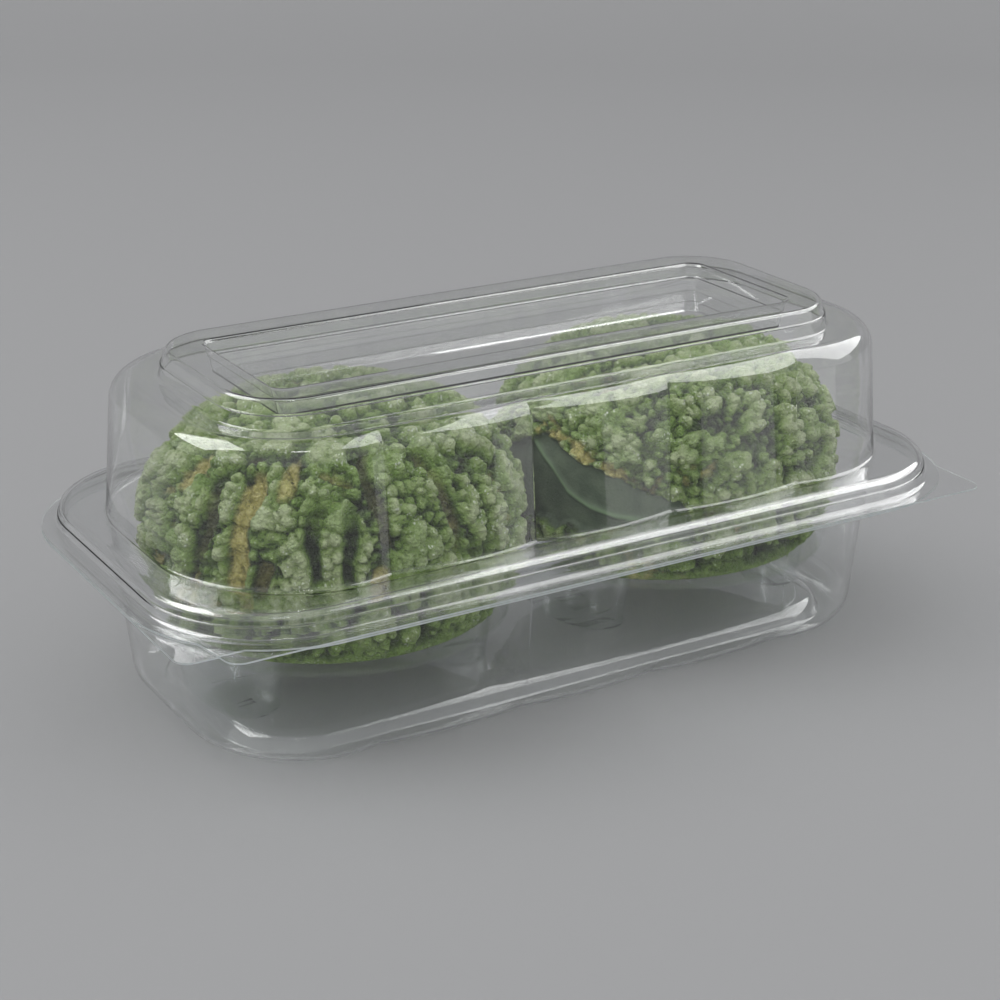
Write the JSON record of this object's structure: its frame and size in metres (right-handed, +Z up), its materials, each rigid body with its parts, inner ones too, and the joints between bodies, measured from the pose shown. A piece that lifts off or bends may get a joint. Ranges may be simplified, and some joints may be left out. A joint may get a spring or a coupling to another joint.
{
  "type": "clear hinged bakery pack with two buns",
  "caption": "Clear thermoformed clamshell cake box with fluted walls, a hinged lid with a stacking frame, clear inner trays and crackle-topped buns.",
  "frame": {"origin": "middle of the underside, on the surface that the pack stands on", "axes": "+X along the long side, to the right as seen from the front with the pull tabs; +Y towards the hinge; +Z up"},
  "size_m": [0.24, 0.128, 0.092],
  "materials": {
    "base_sheet": "clear glossy sheet",
    "lid_sheet": "clear glossy sheet",
    "tray_sheet": "clear glossy sheet",
    "crust": "rough sugary crust"
  },
  "bodies": {
    "base": {"base_tray": "base_sheet", "left_inner_tray": "tray_sheet", "right_inner_tray": "tray_sheet", "left_bun": "crust", "right_bun": "crust"},
    "lid": {"lid": "lid_sheet"}
  },
  "joints": [
    {"name": "lid_hinge", "type": "hinge", "parent": "base", "child": "lid", "pos_m": [0, 0.0642, 0.04325], "axis": [-1, 0, 0], "range_deg": [0, 170]}
  ]
}
